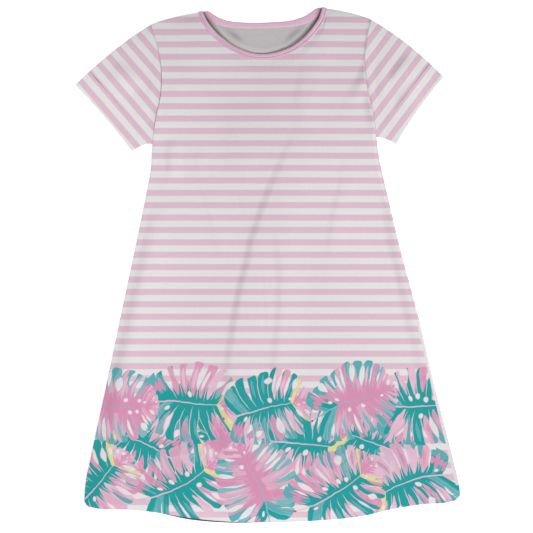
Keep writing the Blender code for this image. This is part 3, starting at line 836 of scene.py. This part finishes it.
def leafGroup():  # one printed leaf, as a node group that is used once for each layer
    tree = bpy.data.node_groups.new("split leaf", "ShaderNodeTree")
    tree.interface.new_socket("Place", in_out="INPUT", socket_type="NodeSocketVector")
    tree.interface.new_socket("Ink", in_out="OUTPUT", socket_type="NodeSocketColor")
    tree.interface.new_socket("Cover", in_out="OUTPUT", socket_type="NodeSocketFloat")
    place = addNode(tree, "NodeGroupInput").outputs[0]
    parts = addNode(tree, "ShaderNodeSeparateXYZ", Vector=place).outputs
    number = reckon(tree, "FLOOR", parts["Z"])
    rosy = reckon(tree, "GREATER_THAN", reckon(tree, "FRACT", parts["Z"]), 0.5)
    known = {"along": parts["X"], "across": parts["Y"], "leaf": number, "rosy": rosy,
             "fingers": leafPrint["fingers"]}
    followSteps(tree, leafSteps, known)
    addNode(tree, "NodeGroupOutput", n0=known["colour"], n1=known["cover"])
    print("one leaf is drawn by", len(tree.nodes), "nodes")
    return tree


def layLeaves(seed):  # a loose brick pattern of leaves, from the lowest up
    draw = random.Random(seed)
    leaves = []
    for height, count, first, rightwards, leftwards in leafPrint["rows"]:
        for i in range(count):
            scatter = leafPrint["scatter"]
            x = first + i * leafPrint["pitch"] + draw.uniform(-scatter, scatter)
            y = height + draw.uniform(-scatter, scatter)
            heading = draw.uniform(*(rightwards if draw.random() < 0.5 else leftwards))
            length = draw.uniform(*leafPrint["length"])
            rosy = (len(leaves) + seed) % 10 in leafPrint["rosyOnes"]
            bend = draw.uniform(-1, 1) * leafPrint["bend"]
            leaves.append([x, y, math.radians(heading), length, rosy, draw.choice((-1, 1)), bend])
    hidden = leafPrint["rows"][0][1]
    leaves[hidden:] = draw.sample(leaves[hidden:], len(leaves) - hidden)
    return leaves


def leafPlace(leaf, x, y):  # a place on the dress in a leaf's own measure
    cx, cy, heading, length, _, flip, bend = leaf
    dx, dy = x - cx, y - cy
    along = (dx * math.cos(heading) + dy * math.sin(heading)) / length + 0.30
    across = (dy * math.cos(heading) - dx * math.sin(heading)) / length / leafPrint["aspect"] * flip
    return along, across + bend * along * (1 - along)


noLeaf = (9.0, 9.0, 0.25)  # far off every leaf


def mayCover(along, across):  # whether a leaf, drawn with a wobble, may reach this place
    if not (-0.62 < along < 1.15 and abs(across) < 0.6):
        return False
    if -0.45 < along < 0.05 and abs(across) < 0.14:
        return True
    start = leafPrint["marginStart"]
    for closer in (0.0, 0.05):
        away = max(abs(across) - closer, 0.0)
        for shift in (-0.07, 0.0, 0.07):
            vein = (along + shift + 1.2 * away - 0.9 * away * away) / (1 + 2.8 * away)
            share = (vein - start) / (1 - start)
            for (x1, y1), (x2, y2) in zip(leafPrint["margin"], leafPrint["margin"][1:]):
                if x1 <= share <= x2 and away < y1 + (y2 - y1) * (share - x1) / (x2 - x1) + 0.02:
                    return True
    return False


def printLeaves(piece, seed):  # each face learns which leaves lie over it, the topmost first
    leaves = layLeaves(seed)
    mesh = piece.data
    layers = [[] for _ in range(leafPrint["layers"])]
    most = 0
    for face in mesh.polygons:
        corners = [(mesh.vertices[v].co.x / mm, mesh.vertices[v].co.y / mm) for v in face.vertices]
        over = []
        if corners[0][1] < -60:
            for number in range(len(leaves) - 1, -1, -1):
                if any(mayCover(*leafPlace(leaves[number], *c)) for c in corners):
                    over.append(number)
        most = max(most, len(over))
        for layer, values in enumerate(layers):
            for corner in corners:
                if layer < len(over):
                    leaf = leaves[over[layer]]
                    values.extend((*leafPlace(leaf, *corner), over[layer] + (0.75 if leaf[4] else 0.25)))
                else:
                    values.extend(noLeaf)
    for layer, values in enumerate(layers):
        made = mesh.attributes.new(f"leaf{layer + 1}", "FLOAT_VECTOR", "CORNER")
        made.data.foreach_set("vector", values)
    print(piece.name, "has at most", most, "leaves over one place")


def printedJersey(name):
    material, tree, shader, coords = newCloth(name)
    height = addNode(tree, "ShaderNodeSeparateXYZ", Vector=coords).outputs["Y"]
    colour, left = (0.0, 0.0, 0.0, 1.0), 1.0  # the ink so far, and the share still to be covered
    for layer in range(leafPrint["layers"]):
        place = addNode(tree, "ShaderNodeAttribute", {"attribute_name": f"leaf{layer + 1}"}).outputs["Vector"]
        if layer:  # a leaf is left out where those above hide it
            hidden = reckon(tree, "LESS_THAN", left, 0.01)
            place = addNode(tree, "ShaderNodeMix", {"data_type": "VECTOR"}, n0=hidden, n4=place,
                            n5=noLeaf).outputs[1]
        leaf = addNode(tree, "ShaderNodeGroup", {"node_tree": splitLeaf}, n0=place).outputs
        share = reckon(tree, "MULTIPLY", leaf["Cover"], left)
        colour = mixInks(tree, share, colour, leaf["Ink"], "ADD")
        left = reckon(tree, "SUBTRACT", left, share)
    colour = mixInks(tree, left, colour, stripes(tree, height), "ADD")
    # the border stops short of the right side seam, and painted shade darkens the cloth toward it
    seam = measured(tree, "fromSeam")
    bare = reckon(tree, "LESS_THAN", seam, jerseyPrint["bareStrip"])
    low, high = jerseyPrint["bareFrom"]
    middle = reckon(tree, "COMPARE", height, (low + high) / 2 * mm, (high - low) / 2 * mm)
    strip = reckon(tree, "MULTIPLY", bare, middle)
    colour = mixInks(tree, strip, colour, linear(jerseyPrint["white"]))
    shadeTone, reach = jerseyPrint["seamShade"]
    colour = mixInks(tree, remap(tree, seam, reach, 0.0), colour, linear(shadeTone), "MULTIPLY")
    tree.links.new(mottled(tree, colour, coords), shader.inputs["Base Color"])
    tree.links.new(knitNormal(tree, coords), shader.inputs["Normal"])
    return material


splitLeaf = leafGroup()


def plainJersey(name, code, depth=1.0, shade=None, inNeck=False):  # shade: its colour where it is unlit
    material, tree, shader, coords = newCloth(name)
    base = linear(code)
    darker, lighter = [[min(c * share, 1.0) for c in base[:3]] + [1.0] for share in (0.94, 1.06)]
    colour = mixInks(tree, unevenness(tree, coords, *cloth["mottle"]), darker, lighter)
    if inNeck:
        # painted light: a lighter band just off the front edge of the neck
        litBand, start, end, most = neckInside["litBand"]
        near = remap(tree, measured(tree, "fromRim"), start, end, toEnd=most)
        colour = mixInks(tree, near, colour, linear(litBand))
        # painted shade along the two furrow lines
        colour = mixInks(tree, measured(tree, "furrowShade"), colour, linear(neckInside["furrowShadeTone"]), "MULTIPLY")
    # painted shade: the colour darkens toward the front edge of the neck
    if shade:
        near = remap(tree, measured(tree, "fromNeck"), 1.0, 0.0)
        fade, most = neckInside["deep"]
        dark = reckon(tree, "MULTIPLY", reckon(tree, "POWER", near, fade), most)
        colour = mixInks(tree, dark, colour, linear(shade))
    tree.links.new(colour, shader.inputs["Base Color"])
    tree.links.new(knitNormal(tree, coords, depth), shader.inputs["Normal"])
    return material


insideJersey = plainJersey("cotton jersey, unprinted inside", cloth["inside"])
insideBack = plainJersey("cotton jersey, unprinted inside of the back", cloth["inside"], 1.0,
                         neckInside["shade"], True)
frontJersey = printedJersey("cotton jersey, printed front")
backJersey = printedJersey("cotton jersey, printed back")

frontPiece = panelPiece("front_cloth", "front", frontHeight, [frontJersey, insideJersey])
backPiece = panelPiece("back_cloth", "back", backHeight, [insideBack, backJersey])
printLeaves(frontPiece, 7)
printLeaves(backPiece, 11)

# Sleeves: flattened tubes. Each via point is where an edge has bowed to halfway, in mm.
sleeves = {
    "height": (2.2, 2.0),  # how high it is where it has left the body, and at the cuff
    "wall": 0.8,
    "seamGap": 0.12,  # between the sleeve and the body
    "fold": 0.85,  # radius of its two folded edges
    "foldReach": 14.0,  # how far in from them it has risen
    "atSeam": 3.0,  # how high it is at the armhole
    "seamReach": 0.2,  # the share of its length over which it comes down from there
    "creases": (
        ("left, high", ((-162, 231), (-177, 248), (-191, 263)), 8, 45, 2.6),
        ("left, across it", ((-170, 256), (-188, 246)), 20, 20, 0.9),
        ("left, beside the seam", ((-146, 262), (-152, 232), (-156, 206)), 9, 16, 0.8),
        ("left, near the fold", ((-178, 222), (-170, 200), (-164, 178)), 10, 18, 0.8),
        ("right", ((182, 272), (167, 254), (152, 234)), 10, 46, 2.5),
        ("right, middle", ((190, 240), (174, 222), (160, 202)), 11, 36, 1.2),
        ("right, beside the seam", ((140, 262), (142, 236), (146, 208)), 9, 14, 0.8),
    ),
    "stitch": 20.6,  # how far in from the white sliver the hem's stitching runs
    "groove": 0.55,  # how wide it sinks in
    "pull": (38.0, 0.3, 0.66, 0.1),  # how fine its unevenness is, from where to where, and its least
    "stitchFades": (0.18, 0.24, 0.15),  # between which heights it grows full, and what is left below
    "sunk": 1.5,  # how wide the cloth sinks in at the armhole seam
    "sunkDeep": 0.6,
    "grooveShade": "#9c838f",
    "around": 88,  # faces
    "along": 64,
    # sliver: how wide the cuff's white edge is above and below; closer: how close the stripes lie there
    "left": {
        "topVia": (-198.5, 274.5), "cuffTop": (-247.7, 231.0), "cuffVia": (-211.5, 191.5),
        "cuffEnd": (-174.1, 145.1), "underVia": (-161.5, 152.9), "points": leftPoints,
        "sliver": (4.9, 5.2), "closer": (0.993, 0.986),
    },
    "right": {
        "topVia": (178.5, 284.0), "cuffTop": (225.9, 241.4), "cuffVia": (192.8, 198.9),
        "cuffEnd": (164.6, 154.6), "underVia": (152.5, 160.8), "points": rightPoints,
        "sliver": (4.4, 8.1), "closer": (0.99, 0.988),
    },
}


def armhole(points, share):  # from the shoulder tip down to the armpit, just outside the body
    up = 1 + (armpitPlace - 1) * share
    along = (sideAt(points, min(up + 0.004, 1.0)) - sideAt(points, up - 0.004)).normalized()
    outwards = Vector((-along.y, along.x)) * (-1 if points is rightPoints else 1)
    return sideAt(points, up) + outwards * sleeves["seamGap"] * mm


def cuffFrame(row):  # a place on the cuff and the way into the sleeve, square to the cuff
    start, end = Vector(row["cuffTop"]), Vector(row["cuffEnd"])
    line = (end - start).normalized()
    inward = Vector((-line.y, line.x))
    if inward.dot(Vector((0, 240)) - start) < 0:
        inward = -inward
    return start, inward


def cuffDistance(row, place):  # how far in from the cuff, in mm
    start, inward = cuffFrame(row)
    return (Vector(place[:2]) / mm - start).dot(inward)


def sleeve(name, row, materials):
    via, cuffTop, cuffVia, cuffEnd, under = [
        Vector(row[key]) * mm for key in ("topVia", "cuffTop", "cuffVia", "cuffEnd", "underVia")]
    points = row["points"]
    shoulder, armpit = armhole(points, 0.0), armhole(points, 1.0)

    def placeAt(out, down):
        top, bottom = bowed(shoulder, via, cuffTop, out), bowed(armpit, under, cuffEnd, out)
        seam = armhole(points, down) - shoulder.lerp(armpit, down)
        cuff = bowed(cuffTop, cuffVia, cuffEnd, down) - cuffTop.lerp(cuffEnd, down)
        return top.lerp(bottom, down) + seam * (1 - out) + cuff * out

    def stripeHeight(place, down):  # how far in from the white sliver at the cuff, in mm
        first, last = row["sliver"]
        near, far = row["closer"]
        return (cuffDistance(row, place) - first - (last - first) * down) * (near + (far - near) * down)

    form = bmesh.new()
    fromCuff = form.verts.layers.float.new("fromCuff")
    fromArmhole = form.verts.layers.float.new("fromArmhole")
    around, along, fold = sleeves["around"], sleeves["along"], sleeves["fold"]
    shares = spread(0, 1, along, 0.8)
    for v, i, j in gridPlaces(form, around, along):
        turn = math.tau * (i % around) / around
        out = shares[j]
        down = (1 - math.cos(turn)) / 2
        place = placeAt(out, down)
        fromFold = min(down, 1 - down) * (placeAt(out, 1.0) - placeAt(out, 0.0)).length / mm
        roll = math.sqrt(1 - (1 - min(fromFold / fold, 1.0)) ** 2)
        if math.sin(turn) >= 0:
            nearSeam = 1 - ease(out / sleeves["seamReach"])
            top = sleeves["height"][0] + (sleeves["height"][1] - sleeves["height"][0]) * out
            top -= (top - sleeves["atSeam"]) * nearSeam
            top += creaseLift(sleeves, place.x / mm, place.y / mm) * (1 - nearSeam) * ease((1 - out) / 0.1)
            height = fold + fold * roll + (top - 2 * fold) * ease(fromFold / sleeves["foldReach"])
        else:
            height = fold - fold * roll
        v[fromCuff] = stripeHeight(place, down)
        v[fromArmhole] = (place - placeAt(0.0, down)).length / mm
        v.co = (place.x, place.y, height * mm)
    closeUp(form)
    piece = finishPiece(name, form, materials)
    thicken(piece, sleeves["wall"] * mm, -1.0, 1)
    return piece


def sleeveJersey(name, seamDepthAndShade):  # its stripes run along the cuff, and a stitched groove ends the hem
    material, tree, shader, coords = newCloth(name)
    inside = measured(tree, "fromCuff")
    shifted = reckon(tree, "MULTIPLY_ADD", inside, -mm, jerseyPrint["firstEdge"] * mm)
    share = reckon(tree, "DIVIDE", reckon(tree, "SUBTRACT", inside, sleeves["stitch"]), sleeves["groove"])
    square = reckon(tree, "MULTIPLY", share, share)
    groove = reckon(tree, "EXPONENT", reckon(tree, "MULTIPLY", square, -1.0))
    fineness, low, high, least = sleeves["pull"]
    uneven = remap(tree, unevenness(tree, coords, fineness, 2.0), low, high, least)
    height = addNode(tree, "ShaderNodeSeparateXYZ", Vector=coords).outputs["Y"]
    pulled = reckon(tree, "MULTIPLY", uneven, remap(tree, height, *sleeves["stitchFades"]))
    stitched = reckon(tree, "MULTIPLY", groove, pulled)
    sunk = remap(tree, measured(tree, "fromArmhole"), 0.0, sleeves["sunk"], seamDepthAndShade, 0.0, "SMOOTHSTEP")
    depth = reckon(tree, "MAXIMUM", stitched, sunk)
    printed = mottled(tree, stripes(tree, shifted), coords)
    dent = addNode(tree, "ShaderNodeBump", {"invert": True}, Strength=1.0, Distance=sleeves["sunkDeep"] * mm,
                   Height=depth, Normal=knitNormal(tree, coords))
    # the groove and the sunk armhole seam are a bump, and the print there also darkens with painted shade
    tree.links.new(mixInks(tree, depth, printed, linear(sleeves["grooveShade"])), shader.inputs["Base Color"])
    tree.links.new(dent.outputs[0], shader.inputs["Normal"])
    return material


sleeveLeft = sleeve("sleeve_left_cloth", sleeves["left"],
                    [sleeveJersey("cotton jersey, left sleeve", 0.5), insideJersey])
sleeveRight = sleeve("sleeve_right_cloth", sleeves["right"],
                     [sleeveJersey("cotton jersey, right sleeve", 0.3), insideJersey])

# painted shade darkens the binding: on its back under the front edge of the neck, and a little in the middle
# of its front
pinkJersey = plainJersey("pink cotton jersey binding", "#dab4c8", 0.8, "#5b4148")


def bindingSections():  # where each section is: its edge on the opening, into the cloth, and out
    upper = body["frontLayer"] + binding["thickness"] / 2  # at the corners
    lower = binding["thickness"] / 2
    up, down = Vector((0, 0, 1)), Vector((0, 0, -1))
    places = spread(0.0, 1.0, binding["stations"], 0.3)

    def layer(name, middle, out, rise=0.0):
        return [(neckEdge(name, a).to_3d() + Vector((0, 0, (middle + rise * neckRise(a)) * mm)),
                 intoCloth(name, a).to_3d(), out, bindingWidth(name, a) / binding["usualWidth"])
                for a in places]

    def turn(point, atLeft):
        into = shoulderLine(atLeft).to_3d()
        beyond = Vector((into.y, -into.x, 0)) * (1 if atLeft else -1)
        made = []
        for i in range(1, binding["turnStations"]):
            angle = math.pi * i / binding["turnStations"]
            out = beyond * math.sin(angle) + up * math.cos(angle)
            middle = Vector((point.x, point.y, (upper + lower) / 2 * mm))
            made.append((middle + out * (upper - lower) / 2 * mm, into, out,
                         bindingWidth("front", 0.0) / binding["usualWidth"]))
        return made

    sections = layer("front", upper, up, 1.0) + turn(neckRight, False)
    return sections + layer("back", lower, down)[::-1] + turn(neckLeft, True)[::-1]


def bindingPiece(name, material):
    sections = bindingSections()
    outline = binding["outline"]
    form = bmesh.new()
    fromNeck = form.verts.layers.float.new("fromNeck")
    shadeTone, shadeMiddle, shadeReach, shadeEnd = binding["frontShade"]
    for v, i, j in gridPlaces(form, len(outline), len(sections)):
        edge, into, out, wider = sections[j % len(sections)]
        w, d = outline[i % len(outline)]
        v.co = edge + into * w * wider * mm + out * d * mm
        if out.z < -0.5:  # on the back
            v[fromNeck] = neckShade(v.co.x / mm, v.co.y / mm)
        else:
            # painted shade on the front, strongest in its middle
            beyond = abs(v.co.x / mm - shadeMiddle) - shadeReach
            v[fromNeck] = shadeTone + (1 - shadeTone) * ease(beyond / shadeEnd)
    closeUp(form)
    return finishPiece(name, form, [material])


bindingCloth = bindingPiece("neck_binding_cloth", pinkJersey)

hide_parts("front_panel")
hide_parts("back_panel")
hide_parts("sleeve_left")
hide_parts("sleeve_right")
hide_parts("neck_binding")
print("neck_binding_cloth goes round the neck, and every piece stands for its solid")

# The floor is pale card, matt, and it glows a little so that it stays white.
floorCard = bpy.data.materials.new("matt white card")
setShader(floorCard, {"Base Color": (0.93, 0.93, 0.93, 1.0), "Roughness": 0.9,
                      "Emission Color": (1.0, 1.0, 1.0, 1.0), "Emission Strength": 0.5})
floorForm = bmesh.new()
bmesh.ops.create_grid(floorForm, x_segments=2, y_segments=2, size=3.0)
floorMesh = bpy.data.meshes.new("floor")
floorForm.to_mesh(floorMesh)
floorForm.free()
floorMesh.materials.append(floorCard)
floor = bpy.data.objects.new("floor", floorMesh)
bpy.context.scene.collection.objects.link(floor)

# Soft light from all round, a far lamp low over the right side, and near ones at both sides and
# beyond the hem.
studio = {
    "dome": 0.225,
    "lamps": (  # name, place, size, watts
        ("key lamp", (9.0, -4.2, 7.2), 3.2, 755.0),
        ("left lamp", (-0.55, 0.13, 0.40), 0.3, 1.83),
        ("right lamp", (0.62, 0.12, 0.40), 0.3, 2.18),
        ("hem lamp", (-0.02, -0.99, 0.40), 0.4, 5.0),
    ),
}
world = bpy.data.worlds.new("soft white room")
bpy.context.scene.world = world
world.use_nodes = True
world.node_tree.nodes["Background"].inputs["Color"].default_value = (1.0, 1.0, 1.0, 1.0)
world.node_tree.nodes["Background"].inputs["Strength"].default_value = studio["dome"]


def lamp(name, place, size, watts):
    data = bpy.data.lights.new(name, "AREA")
    data.shape = "SQUARE"
    data.size = size
    data.energy = watts
    holder = bpy.data.objects.new(name, data)
    bpy.context.scene.collection.objects.link(holder)
    holder.location = place
    holder.rotation_euler = (-Vector(place)).to_track_quat("-Z", "Y").to_euler()
    holder.visible_camera = False


for row in studio["lamps"]:
    lamp(*row)

camera = {
    "height": 2.5,
    "middle": (-1.8, -2.3),  # what it looks straight down on, in mm
    "covers": 685.0,  # width of the floor in view, in mm
    "sensor": 36.0,
}
cameraData = bpy.data.cameras.new("camera")
cameraData.sensor_width = camera["sensor"]
cameraData.lens = camera["sensor"] * camera["height"] * 1000 / camera["covers"]
cameraData.clip_end = 20.0
cameraObject = bpy.data.objects.new("camera", cameraData)
bpy.context.scene.collection.objects.link(cameraObject)
cameraObject.location = (camera["middle"][0] * mm, camera["middle"][1] * mm, camera["height"])
bpy.context.scene.camera = cameraObject
bpy.context.scene.view_settings.view_transform = "Standard"

print("dress is dressed")
